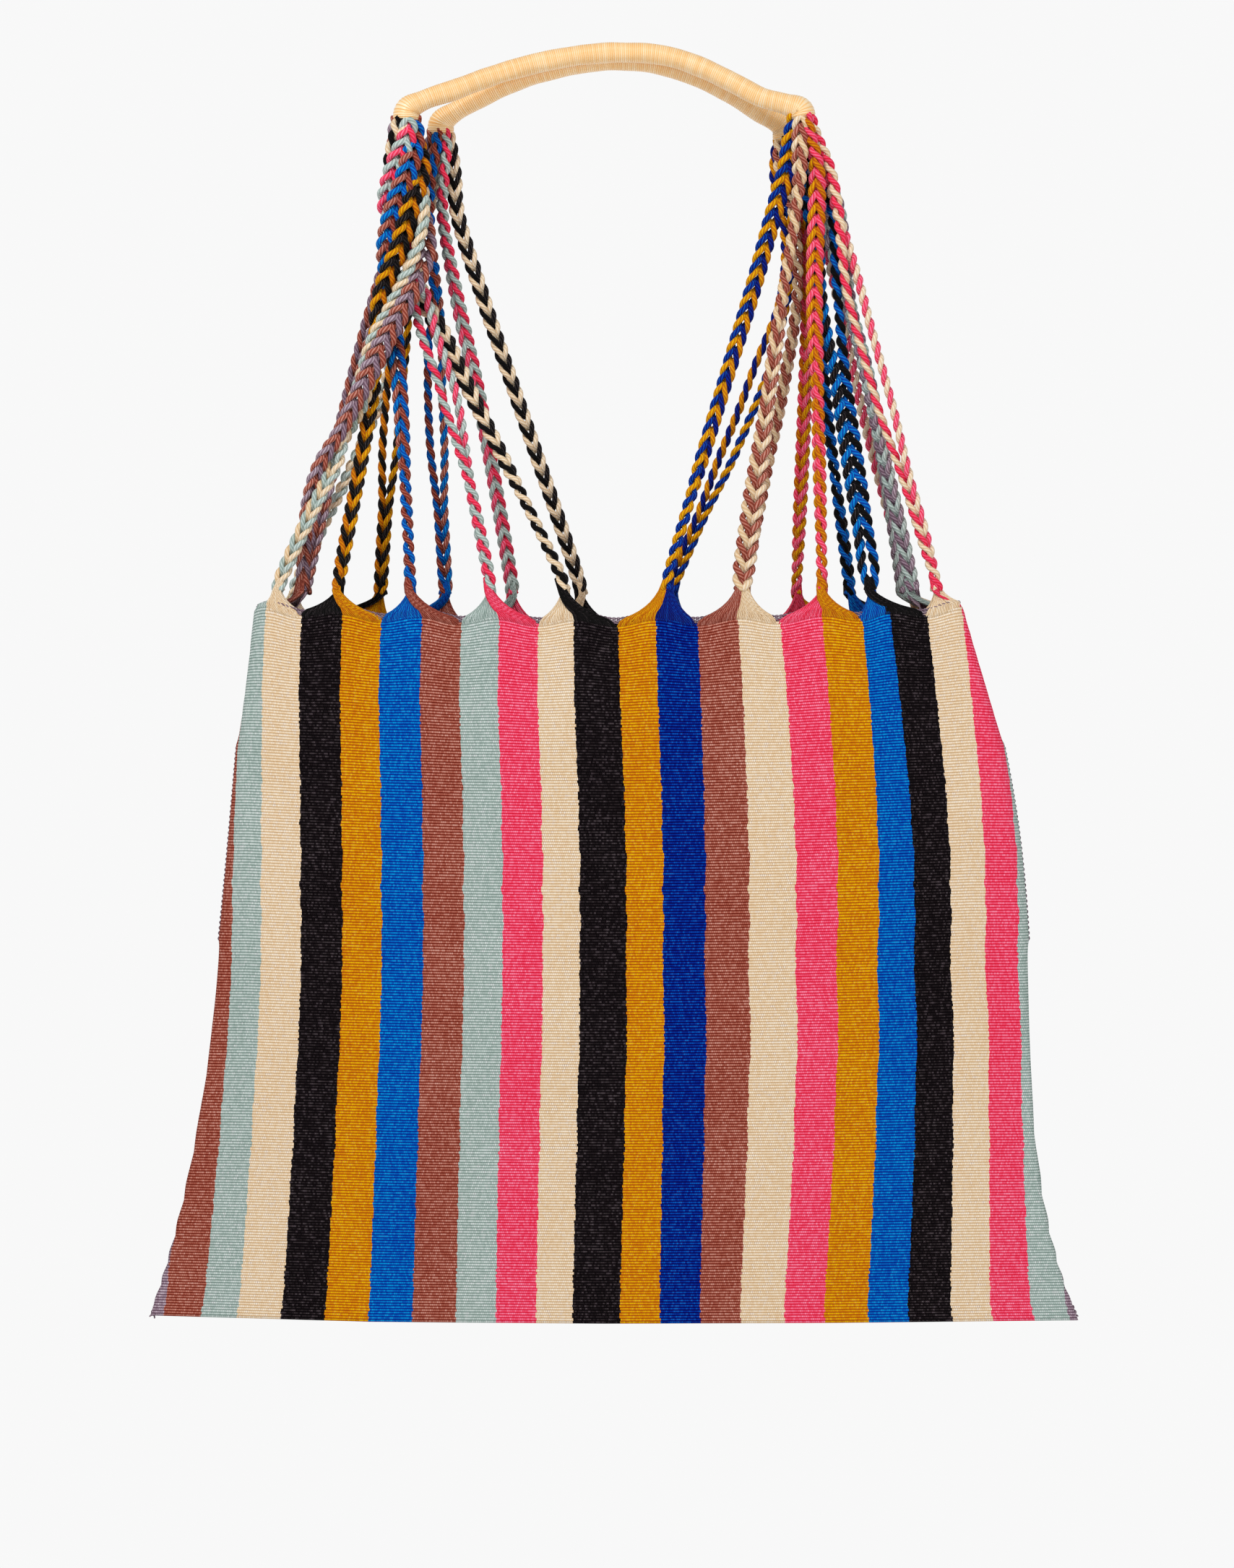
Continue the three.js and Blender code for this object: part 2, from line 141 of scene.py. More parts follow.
# Each cord from left to right: its place in the ring below its grip end, in degrees, its looks
# from the grip down to the foot, and the points of its route. A look is what the front shows:
# V or A for both ropes as a chevron, W or M for a wide one, / or \ for one rope in front, and
# v or a for ropes apart.
CORDS = {
    "front": {
        "brown_lilac": (165, "AAAMAAA", [
            (-102.3, -6.7, -57), (-95, -8, -75), (-90.5, -15, -97), (-97.5, -23.5, -120),
            (-111, -27, -145), (-123, -28.5, -170), (-134.5, -28.5, -193), (-145, -26, -210),
            (-151, -22.5, -230), (-154, -19, FOOT_Z),
        ]),
        "aqua_cream": (105, "///aVV", [
            (-95.6, -8.6, -57), (-91.5, -14.5, -75), (-94.8, -21.8, -97), (-105.5, -20.5, -120),
            (-117, -22.5, -145), (-123, -21.5, -170), (-131.5, -21.5, -193), (-137.3, -24, -210),
            (-147, -29.5, -230), (-166, -28, FOOT_Z),
        ]),
        "black_mustard": (45, "AAAVV\\", [
            (-93.6, -15.2, -57), (-98, -20, -75), (-104, -21, -97), (-113, -18.5, -120),
            (-116.5, -15.3, -145), (-118, -16, -170), (-135, -34, FOOT_Z),
        ]),
        "blue_brown": (345, "AAAA\\\\", [
            (-99.6, -20.8, -57), (-106, -20, -75), (-111, -17.2, -97), (-109, -11.5, -120),
            (-104, -20, -170), (-98, -35, FOOT_Z),
        ]),
        "aqua_pink": (285, "AAvv\\\\", [
            (-106.8, -18.2, -57), (-110.5, -12.8, -75), (-101.5, -11.8, -97), (-94.5, -11, -120),
            (-89, -18, -142), (-79.5, -23, -170), (-57, -36, FOOT_Z),
        ]),
        "cream_black": (225, "VVVV\\\\", [
            (-107.2, -10.6, -57), (-102, -10, -75), (-99, -4.5, -97), (-94, -3.6, -120),
            (-82, -8.5, -141), (-68.5, -17, -170), (-19, -36.5, FOOT_Z),
        ]),
        "mustard_royal": (190, "MAAA//", [
            (95.5, -15.5, -57), (90, -17, -75), (77.5, -20, -120), (62.5, -25, -170),
            (33, -36.5, FOOT_Z),
        ]),
        "brown_cream": (250, "A\\\\VWW", [
            (102, -20, -57), (100.5, -20, -75), (93.5, -22, -120), (86.3, -26, -170),
            (72, -36, FOOT_Z),
        ]),
        "pink_mustard": (310, "\\AA\\\\\\", [
            (110.8, -19.5, -57), (110.8, -20, -75), (109.5, -22, -120), (110.8, -27, -170),
            (113, -35, FOOT_Z),
        ]),
        "blue_black": (130, "\\aaMMa", [
            (107.5, -10, -57), (114.5, -12.5, -75), (117.5, -16.5, -120), (123.5, -23, -170),
            (138, -34, FOOT_Z),
        ]),
        "cream_pink": (10, "\\\\vvV\\", [
            (117, -14.5, -57), (121, -17.5, -75), (130, -20, -120), (143, -26, -170),
            (172, -29, FOOT_Z),
        ]),
        "aqua_lilac": (70, "AV", [
            (114, -7, -57), (121, -8, -75), (127, -12, -120), (137.5, -17, -170),
            (160, -19, FOOT_Z),
        ]),
    },
    "back": {
        "brown_lilac": (190, "VV", [
            (-95.5, 11.5, -57), (-103, 12, -75), (-117.5, 15, -120), (-131.5, 20, -170),
            (-155, 19, FOOT_Z),
        ]),
        "aqua_cream": (70, "//", [
            (-84.7, 19.6, -57), (-90.5, 20, -75), (-105, 21, -120), (-115, 27, -170),
            (-161, 29, FOOT_Z),
        ]),
        "black_mustard": (130, "VVVvvVV", [
            (-91.8, 18, -57), (-96, 15, -75), (-102, 14, -120), (-108.5, 21, -170),
            (-116, 34, FOOT_Z),
        ]),
        "blue_brown": (250, "\\\\\\vvVV", [
            (-89, 7, -57), (-90, 9, -75), (-86.5, 12, -120), (-87, 20, -170), (-82, 35, FOOT_Z),
        ]),
        "aqua_pink": (310, "\\AA", [
            (-82, 7.6, -57), (-83, 11, -75), (-75.5, 13, -120), (-64.5, 21, -170),
            (-47, 36, FOOT_Z),
        ]),
        "cream_black": (10, "VV", [
            (-76.8, 14.5, -57), (-75.5, 14, -75), (-62, 15, -120), (-45, 22, -170),
            (-11, 36.5, FOOT_Z),
        ]),
        "mustard_royal": (150, "VVVvvVV", [
            (91.5, 17, -60), (96, 17, -78), (96, 15, -115), (78.5, 21, -170), (36, 36.5, FOOT_Z),
        ]),
        "brown_cream": (210, "\\\\", [
            (93.5, 9.5, -60), (100, 10.5, -78), (101.5, 9.5, -120), (94, 18, -170),
            (74, 36, FOOT_Z),
        ]),
        "pink_mustard": (90, "V/", [
            (98.5, 19, -60), (104.5, 17, -78), (107, 15, -120), (106, 21, -170), (102, 35, FOOT_Z),
        ]),
        "blue_black": (270, "\\\\", [
            (100.5, 7.5, -60), (108, 10.5, -78), (113.5, 10.5, -120), (116.5, 18.5, -170),
            (130, 34, FOOT_Z),
        ]),
        "cream_pink": (30, "//", [
            (105.5, 16.5, -60), (112.5, 17, -78), (123, 15, -120), (134, 24, -170),
            (161, 29, FOOT_Z),
        ]),
        "aqua_lilac": (330, "AA", [
            (107.5, 9, -60), (115.5, 10.5, -78), (127, 8.5, -120), (140.5, 17, -170),
            (157, 19, FOOT_Z),
        ]),
    },
}
PAIRS = list(CORDS["front"])

# How far the stripes sway to the right: at a height's share of the bag, in the left half and
# in the right half.
SWAY = [
    (0, -2.5, -2.4), (0.1, -1.1, -0.2), (0.25, -0.3, 1.2), (0.4, -0.6, 0.5), (0.55, -1.0, -2.6),
    (0.72, -1.2, -3.1), (0.87, -1.3, -1.2), (0.95, 0.8, 0), (1, 2.8, 1),
]

# ---- Colours, as sRGB out of 255 ----
COLOURS = {
    "lilac": (150, 128, 142),
    "brown": (161, 87, 71),
    "aqua": (171, 187, 181),
    "cream": (231, 207, 174),
    "black": (12, 8, 9),
    "mustard": (207, 133, 0),
    "blue": (0, 90, 180),
    "pink": (237, 77, 110),
    "royal": (0, 34, 134),
    "straw": (249, 222, 178),
}


def linear(rgb):
    values = [c / 255 for c in rgb]
    values = [v / 12.92 if v <= 0.04045 else ((v + 0.055) / 1.055) ** 2.4 for v in values]
    return (*values, 1)


# ---- Curves ----
def catmull(points, count):
    """Evenly spaced points on the centripetal Catmull-Rom curve through the points."""
    p = np.array(points, float)
    p = np.vstack([2 * p[0] - p[1], p, 2 * p[-1] - p[-2]])
    out = []
    for i in range(1, len(p) - 2):
        knots = [0.0]
        for a, b in zip(p[i - 1:i + 2], p[i:i + 3]):
            knots.append(knots[-1] + math.sqrt(np.linalg.norm(b - a)))
        t = np.linspace(knots[1], knots[2], 40, endpoint=False)[:, None]
        k = knots
        a1 = (k[1] - t) / (k[1] - k[0]) * p[i - 1] + (t - k[0]) / (k[1] - k[0]) * p[i]
        a2 = (k[2] - t) / (k[2] - k[1]) * p[i] + (t - k[1]) / (k[2] - k[1]) * p[i + 1]
        a3 = (k[3] - t) / (k[3] - k[2]) * p[i + 1] + (t - k[2]) / (k[3] - k[2]) * p[i + 2]
        b1 = (k[2] - t) / (k[2] - k[0]) * a1 + (t - k[0]) / (k[2] - k[0]) * a2
        b2 = (k[3] - t) / (k[3] - k[1]) * a2 + (t - k[1]) / (k[3] - k[1]) * a3
        out.append((k[2] - t) / (k[2] - k[1]) * b1 + (t - k[1]) / (k[2] - k[1]) * b2)
    out.append(p[-2][None])
    return resample(np.vstack(out), count)


def distances(points):
    steps = np.linalg.norm(np.diff(points, axis=0), axis=1)
    return np.concatenate([[0], np.cumsum(steps)])


def resample(points, count):
    along = distances(points)
    at = np.linspace(0, along[-1], count)
    return np.stack([np.interp(at, along, points[:, k]) for k in range(points.shape[1])], axis=1)


def frames(points, toward):
    """For each point its tangent, a normal leaning toward a direction, and their cross product."""
    tangent = np.gradient(points, axis=0)
    tangent /= np.linalg.norm(tangent, axis=1)[:, None]
    normal = toward - (tangent @ toward)[:, None] * tangent
    normal /= np.linalg.norm(normal, axis=1)[:, None]
    return tangent, normal, np.cross(normal, tangent)


# ---- Meshes ----
# A mesh's strands start this far apart in its strand coordinate, so that each has its own tone.
STRAND_STEP = 1000


class Shape:
    """Gathers tubes into one mesh, with a material number and a strand coordinate per corner."""

    def __init__(self):
        self.points = []
        self.faces = []
        self.uvs = []
        self.numbers = []
        self.count = 0
        self.strands = 0

    def tube(self, line, radius, sides, toward=(0, -1, 0), number=0, capped=True):
        """radius is one number, one for each point, or one for each point and side."""
        line = np.asarray(line, float)
        steps = len(line)
        _, normal, across = frames(line, np.array(toward, float))
        angle = np.linspace(0, 2 * math.pi, sides, endpoint=False)
        if np.ndim(radius) == 1:
            radius = np.reshape(radius, (-1, 1))
        radius = np.broadcast_to(radius, (steps, sides))
        ring = (np.cos(angle)[None, :, None] * across[:, None, :]
                + np.sin(angle)[None, :, None] * normal[:, None, :])
        self.points.append((line[:, None, :] + radius[:, :, None] * ring).reshape(-1, 3))
        i, j = np.meshgrid(np.arange(steps - 1), np.arange(sides), indexing="ij")
        k = (j + 1) % sides
        base = self.count
        quads = np.stack([base + i * sides + j, base + (i + 1) * sides + j,
                          base + (i + 1) * sides + k, base + i * sides + k], axis=-1)
        self.faces.extend(quads.reshape(-1, 4).tolist())
        along = distances(line)
        corner_u = np.stack([j, j, j + 1, j + 1], axis=-1) / sides
        corner_v = np.stack([along[i], along[i + 1], along[i + 1], along[i]], axis=-1)
        corner_v = corner_v + STRAND_STEP * self.strands
        self.strands += 1
        self.uvs.append(np.stack([corner_u, corner_v], axis=-1).reshape(-1, 2))
        total = (steps - 1) * sides
        if capped:
            self.faces.append([base + s for s in range(sides)])
            self.faces.append([base + (steps - 1) * sides + s for s in reversed(range(sides))])
            self.uvs.append(np.zeros((2 * sides, 2)))
            total += 2
        self.numbers.extend([number] * total)
        self.count += steps * sides

    def build(self, name, materials):
        mesh = bpy.data.meshes.new(name)
        points = np.vstack(self.points) * MM
        mesh.from_pydata(points.tolist(), [], self.faces)
        layer = mesh.uv_layers.new(name="strand")
        layer.data.foreach_set("uv", np.vstack(self.uvs).astype(np.float32).ravel())
        for material in materials:
            mesh.materials.append(material)
        mesh.polygons.foreach_set("material_index", self.numbers)
        mesh.polygons.foreach_set("use_smooth", [True] * len(mesh.polygons))
        mesh.update()
        piece = bpy.data.objects.new(name, mesh)
        bpy.context.scene.collection.objects.link(piece)
        return piece


# ---- Materials ----
class Nodes:
    """A new material's node tree, with short calls for the nodes used here."""

    def __init__(self, name, roughness=0.85, sheen=0.03, gloss=0.12):
        self.material = bpy.data.materials.new(name)
        self.material.use_nodes = True
        self.tree = self.material.node_tree
        self.shader = self.tree.nodes["Principled BSDF"]
        self.shader.inputs["Roughness"].default_value = roughness
        self.shader.inputs["Sheen Weight"].default_value = sheen
        self.shader.inputs["Sheen Roughness"].default_value = 0.5
        self.shader.inputs["Specular IOR Level"].default_value = gloss

    def add(self, kind, inputs=(), **settings):
        node = self.tree.nodes.new("ShaderNode" + kind)
        for key, value in settings.items():
            setattr(node, key, value)
        for key, value in dict(inputs).items():
            if isinstance(value, bpy.types.NodeSocket):
                self.tree.links.new(value, node.inputs[key])
            else:
                node.inputs[key].default_value = value
        return node

    def math(self, operation, a, b=0.0):
        return self.add("Math", {0: a, 1: b}, operation=operation).outputs[0]

    def wave(self, turns):
        """A sine wave from 0 to 1."""
        sine = self.math("SINE", turns)
        return self.math("MULTIPLY", self.math("ADD", sine, 1.0), 0.5)

    def noise(self, scale, detail=2.0, vector=None):
        inputs = {"Scale": scale, "Detail": detail}
        if vector is None:
            vector = self.add("TexCoord").outputs["Object"]
        inputs["Vector"] = vector
        return self.add("TexNoise", inputs).outputs["Fac"]

    def spread(self, value, low, high):
        """Maps 0..1 to low..high."""
        return self.add("MapRange", {"Value": value, "To Min": low, "To Max": high}).outputs[0]

    def finish(self, colour, height, strength, distance):
        bump = self.add("Bump", {"Height": height, "Strength": strength, "Distance": distance})
        self.tree.links.new(colour, self.shader.inputs["Base Color"])
        self.tree.links.new(bump.outputs[0], self.shader.inputs["Normal"])
        return self.material


def mixed(nodes, kind, factor, a, b):
    """Two colours mixed by a node of the given blend kind."""
    node = nodes.add("Mix", data_type="RGBA", blend_type=kind)
    for index, value in ((0, factor), (6, a), (7, b)):
        if isinstance(value, bpy.types.NodeSocket):
            nodes.tree.links.new(value, node.inputs[index])
        else:
            node.inputs[index].default_value = value
    return node.outputs[2]


def painted_shade_and_tone(nodes, colour, depth):
    """Darkens a colour where depth is over 1 and lightens it below. The yarns drive it with their
    relief, so it paints shade into grooves and a highlight onto crests, with random tone mixed in.
    """
    if not isinstance(colour, bpy.types.NodeSocket):
        rgb = nodes.add("RGB")
        rgb.outputs[0].default_value = colour
        colour = rgb.outputs[0]
    return nodes.add("Gamma", {"Color": colour, "Gamma": depth}).outputs[0]


# A strand's own plies: how many go round it, and the length of one turn.
PLIES = 5
PLY_LAY = 2.4


def yarn_material(colour):
    """Yarn whose own fine plies run round the strand, with painted shade between the plies and
    painted highlight on them, each strand in a slightly different tone.
    """
    nodes = Nodes(f"yarn_{colour}")
    strand = nodes.add("SeparateXYZ", {0: nodes.add("UVMap", uv_map="strand").outputs[0]})
    around = nodes.math("MULTIPLY", strand.outputs[0], 2 * math.pi * PLIES)
    along = nodes.math("MULTIPLY", strand.outputs[1], 2 * math.pi / PLY_LAY)
    plies = nodes.wave(nodes.math("ADD", around, along))
    strand_number = nodes.math("ROUND", nodes.math("DIVIDE", strand.outputs[1], STRAND_STEP))
    tone = nodes.add("TexWhiteNoise", {"W": strand_number}, noise_dimensions="1D").outputs["Value"]
    fibres = nodes.noise(2200, 3)
    patches = nodes.noise(260, 2)
    # Painted shade and highlight: the colour is darker between the plies and lighter on them. The
    # patches, fibres and each strand's tone add random tone.
    depth = nodes.math("ADD", nodes.spread(plies, 1.5, 0.72), nodes.spread(patches, 0.12, -0.12))
    depth = nodes.math("ADD", depth, nodes.spread(fibres, 0.2, -0.2))
    depth = nodes.math("ADD", depth, nodes.spread(tone, 0.3, -0.25))
    height = nodes.math("ADD", plies, nodes.math("MULTIPLY", fibres, 0.6))
    base = painted_shade_and_tone(nodes, linear(COLOURS[colour]), depth)
    return nodes.finish(base, height, 0.6, 0.0003)


YARNS = {colour: yarn_material(colour) for colour in COLOURS}

# How strongly the lilac weft shows between the warp yarns of a stripe.
WEFT_SHOWS = {"cream": 0.5, "black": 0.13, "aqua": 0.4, "mustard": 0.15}
WEFT_SHOWS_ELSEWHERE = 0.05

# The weave: a warp yarn's width, a rib's height, and how far the stripes' borders stray.
WARP_FLOAT = 1.0
RIB = 1.435
RIB_STRAY = 0.4
SLOW_STRAY = 0.7


def cloth_material():
    """Warp-faced rep: coloured warp yarns over ribs, with painted shade between them and painted
    highlight on them, and lilac weft showing as small specks.
    """
    nodes = Nodes("striped_rep", roughness=0.95, sheen=0.01, gloss=0.02)
    warp = nodes.add("Attribute", attribute_name="warp").outputs["Fac"]
    weft = nodes.add("Attribute", attribute_name="weft").outputs["Fac"]
    across_ribs = nodes.math("DIVIDE", weft, RIB)
    rib = nodes.math("FLOOR", across_ribs)
    across_floats = nodes.math("ADD", nodes.math("DIVIDE", warp, WARP_FLOAT),
                               nodes.math("MULTIPLY", rib, 0.5))
    float_number = nodes.math("FLOOR", across_floats)
    ridge = nodes.math("ABSOLUTE", nodes.math("SINE", nodes.math("MULTIPLY", across_ribs,
                                                                 math.pi)))
    yarn = nodes.math("ABSOLUTE", nodes.math("SINE", nodes.math("MULTIPLY", across_floats,
                                                                math.pi)))

    rib_noise = nodes.add("TexWhiteNoise", {"W": rib}, noise_dimensions="1D").outputs["Value"]
    wander = nodes.add("TexNoise", {"W": weft, "Scale": 0.06, "Detail": 1.0},
                       noise_dimensions="1D").outputs["Fac"]
    shifted = nodes.math("ADD", warp, nodes.spread(rib_noise, -RIB_STRAY, RIB_STRAY))
    shifted = nodes.math("ADD", shifted, nodes.spread(wander, -SLOW_STRAY, SLOW_STRAY))
    total = sum(stripe[1] for stripe in STRIPES)
    ramp = nodes.add("ValToRGB", {0: nodes.math("DIVIDE", shifted, total)})
    ramp.color_ramp.interpolation = "CONSTANT"
    start = 0
    for i, (colour, width, *_) in enumerate(STRIPES):
        stop = ramp.color_ramp.elements[0] if i == 0 else ramp.color_ramp.elements.new(start)
        stop.position = start
        shows = WEFT_SHOWS.get(colour, WEFT_SHOWS_ELSEWHERE)
        stop.color = (*linear(COLOURS[colour])[:3], shows)
        start += width / total
    last = ramp.color_ramp.elements[-1]
    last.color = linear(COLOURS["lilac"])

    cell = nodes.add("CombineXYZ", {0: float_number, 1: rib}).outputs[0]
    cell_noise = nodes.add("TexWhiteNoise", {"Vector": cell}).outputs["Value"]
    stretched = nodes.add("CombineXYZ", {0: nodes.math("MULTIPLY", warp, 0.9),
                                         1: nodes.math("MULTIPLY", weft, 0.05)}).outputs[0]
    streaks = nodes.noise(1.0, 2, stretched)
    patches = nodes.noise(26, 3)

    height = nodes.math("ADD", nodes.math("MULTIPLY", ridge, 0.78),
                        nodes.math("MULTIPLY", yarn, 0.22))
    # Painted shade and highlight: darker between the ribs and yarns and lighter on their crests.
    # The cell, streak and patch noises add random tone.
    depth = nodes.math("ADD", nodes.spread(height, 2.1, 0.6),
                       nodes.spread(cell_noise, 0.22, -0.22))
    depth = nodes.math("ADD", depth, nodes.spread(streaks, 0.1, -0.1))
    depth = nodes.math("ADD", depth, nodes.spread(patches, 0.12, -0.12))
    base = painted_shade_and_tone(nodes, ramp.outputs[0], depth)
    speck = nodes.math("ADD", nodes.math("GREATER_THAN", cell_noise, 0.9), 0.35)
    speck = nodes.math("MULTIPLY", speck, nodes.math("LESS_THAN", yarn, 0.4))
    speck = nodes.math("MULTIPLY", speck, ramp.outputs["Alpha"])
    base = mixed(nodes, "MIX", speck, base, linear(COLOURS["lilac"]))
    return nodes.finish(base, height, 0.8, 0.0005)


def winding_material():
    """The grips' wound yarn: fine lines round the bar, painted as shade in the grooves between
    turns and highlight on the turns, and a soft worn sheen.
    """
    nodes = Nodes("wound_yarn", roughness=0.38, sheen=0.2, gloss=0.8)
    strand = nodes.add("SeparateXYZ", {0: nodes.add("UVMap", uv_map="strand").outputs[0]})
    turns = nodes.math("SUBTRACT", nodes.math("DIVIDE", strand.outputs[1], WINDING_PITCH),
                       strand.outputs[0])
    line = nodes.wave(nodes.math("MULTIPLY", turns, 2 * math.pi))
    yarn = nodes.math("FLOOR", turns)
    each = nodes.add("TexWhiteNoise", {"W": yarn}, noise_dimensions="1D").outputs["Value"]
    patches = nodes.noise(120, 3)
    fibres = nodes.noise(2600, 2)
    # Painted shade in the grooves between turns and painted highlight on the turns. Each turn's
    # own tone and the patches add random tone.
    depth = nodes.math("ADD", nodes.spread(line, 2.2, 0.8), nodes.spread(each, 0.5, -0.1))
    depth = nodes.math("ADD", depth, nodes.spread(patches, 0.2, -0.2))
    height = nodes.math("ADD", line, nodes.math("MULTIPLY", fibres, 0.5))
    base = painted_shade_and_tone(nodes, linear(COLOURS["straw"]), depth)
    return nodes.finish(base, height, 0.5, 0.0002)


# ---- Camera: level, opposite the middle of the bag ----
VIEW_CENTRE = (7.9, -20, -373.6)
VIEW_HEIGHT = 807.6
CAMERA_DISTANCE = 3000
SENSOR = 24

camera_data = bpy.data.cameras.new("camera")
camera_data.sensor_fit = "VERTICAL"
camera_data.sensor_height = SENSOR
camera_data.lens = SENSOR * CAMERA_DISTANCE / VIEW_HEIGHT
camera = bpy.data.objects.new("camera", camera_data)
camera.location = (VIEW_CENTRE[0] * MM, (VIEW_CENTRE[1] - CAMERA_DISTANCE) * MM,
                   VIEW_CENTRE[2] * MM)
camera.rotation_euler = (math.pi / 2, 0, 0)
bpy.context.scene.collection.objects.link(camera)
bpy.context.scene.camera = camera


# ---- Cords ----
FRONT = np.array([0.0, -1.0, 0.0])
ROUTE_STEPS = 60
STEPS_A_TWIST = 14
STRAND_SIDES = 8

# A cord's first two points: distance from the grip's end line, and drop below the grip's end.
INSIDE_WINDING = (3.4, -2)
BELOW_WINDING = (5.2, 6)
FOOT_LEAD = 2

# The cord changes from its top's size to its foot's between these shares of its length.
NARROWS_FROM = 0.1
NARROWS_TO = 0.75

# Its ropes lie together at both ends, and part over these lengths from the grip and the foot.
ROPES_TOGETHER = 3.2
PARTS_BELOW_GRIP = 25
PARTS_ABOVE_FOOT = 14


def half_of(pair):
    return "left" if PAIRS.index(pair) < len(PAIRS) / 2 else "right"


def cord_route(side, pair):
    slot, _, by = CORDS[side][pair]
    end = GRIP_ENDS[(side, half_of(pair))]
    angle = math.radians(slot)

    def on_ring(radius, drop):
        return (end[0] + radius * math.cos(angle), end[1] + radius * math.sin(angle),
                end[2] - drop)

    foot = by[-1]
    return [on_ring(*INSIDE_WINDING), on_ring(*BELOW_WINDING), *by,
            (foot[0], foot[1], foot[2] - FOOT_LEAD)]


def smooth(value, low, high):
    t = np.clip((value - low) / (high - low), 0, 1)
    return t * t * (3 - 2 * t)


def make_cord(side, pair, index):
    colours = pair.split("_")
    looks = CORDS[side][pair][1]
    rough = catmull(cord_route(side, pair), ROUTE_STEPS)
    length = distances(rough)[-1]
    line = resample(rough, int(length / TWIST_PERIOD * STEPS_A_TWIST))
    along = distances(line)
    _, normal, across = frames(line, FRONT)
    at = np.linspace(0, length, len(looks))
    rolls = np.unwrap([math.radians(ROLLS[look.upper()]) for look in looks])
    apart = smooth(np.interp(along, at, [float(look.islower()) for look in looks]), 0, 1)
    # The cord also turns a little about its line, slowly and quickly.
    turning = 0.3 * np.sin(along / 47 + index * 1.7) + 0.18 * np.sin(along / 19 + index)
    roll = (np.interp(along, at, rolls) + turning)[:, None]
    wide = np.cos(roll) * across + np.sin(roll) * normal
    deep = np.cos(roll) * normal - np.sin(roll) * across
    near_foot = smooth(along / length, NARROWS_FROM, NARROWS_TO)[:, None]
    top = CORD_TOPS[(side, half_of(pair))]
    wide_here = np.interp(along, at, [float(look in "WM") for look in looks])[:, None]
    size = top + (CORD_FOOT - top) * near_foot
    spacing, swing, thickness = (size + (CORD_WIDE - size) * wide_here).T
    spacing = spacing + (ROPES_APART - spacing) * apart
    parted = smooth(along, 0, PARTS_BELOW_GRIP) * smooth(length - along, 0, PARTS_ABOVE_FOOT)
    spacing = ROPES_TOGETHER + (spacing - ROPES_TOGETHER) * parted
    shape = Shape()
    turn = 2 * math.pi * along / TWIST_PERIOD + index * 0.9
    for rope in (-1, 1):
        centre = line + rope * spacing[:, None] / 2 * wide
        for strand in (0, 1):
            angle = turn + strand * math.pi
            offset = (rope * (swing * np.cos(angle))[:, None] * wide
                      + STRAND_DEPTH * np.sin(angle)[:, None] * deep)
            shape.tube(centre + offset, thickness, STRAND_SIDES, number=strand)
    name = f"{side}_cord_{pair}_twisted"
    piece = shape.build(name, [YARNS[c] for c in colours])
    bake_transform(piece)
    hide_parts(f"{side}_cord_{pair}")


for side in CORDS:
    for index, pair in enumerate(PAIRS):
        make_cord(side, pair, index)


# ---- Grips ----
GRIP_SIDES = 28
STEPS_A_TURN = 7
RIDGE_HEIGHT = 0.2

# The winding swells into a knob between these distances from its end, and tucks in at the end.
KNOB_INSIDE = 2
KNOB_OUTSIDE = 17
TUCK = 1.6
TUCK_OVER = 2.2

# The uneven bundle below the winding: its lumps' length and height, and how many steps of the
# mesh they are smoothed over.
LUMP_LENGTH = 13
LUMP_HEIGHT = 0.45
SMOOTHED_OVER = 21

# A turn about the bar where its lumps are looked up. It is short of 2 pi, and the bar's exact
# shape hangs on it.
LUMP_TURN = 6.28

# The bundle of yarns inside the winding.
CORE_YARNS = 7
CORE_ORBIT = 2.0
CORE_LAY = 60
CORE_YARN_RADIUS = 0.95


def grip_lumps(along, angle):
    """Unevenness of the bar at each step and side, smoothed along the bar."""
    lumps = np.array([[noise.noise(Vector((a / LUMP_LENGTH, math.cos(LUMP_TURN * u),
                                           math.sin(LUMP_TURN * u))))
                       for u in angle] for a in along[::STEPS_A_TURN]])
    lumps = np.repeat(lumps, STEPS_A_TURN, axis=0)[:len(along)]
    kernel = np.ones(SMOOTHED_OVER) / SMOOTHED_OVER
    padded = [np.pad(column, SMOOTHED_OVER // 2, "edge") for column in lumps.T]
    return np.stack([np.convolve(column, kernel, "valid") for column in padded], axis=1)


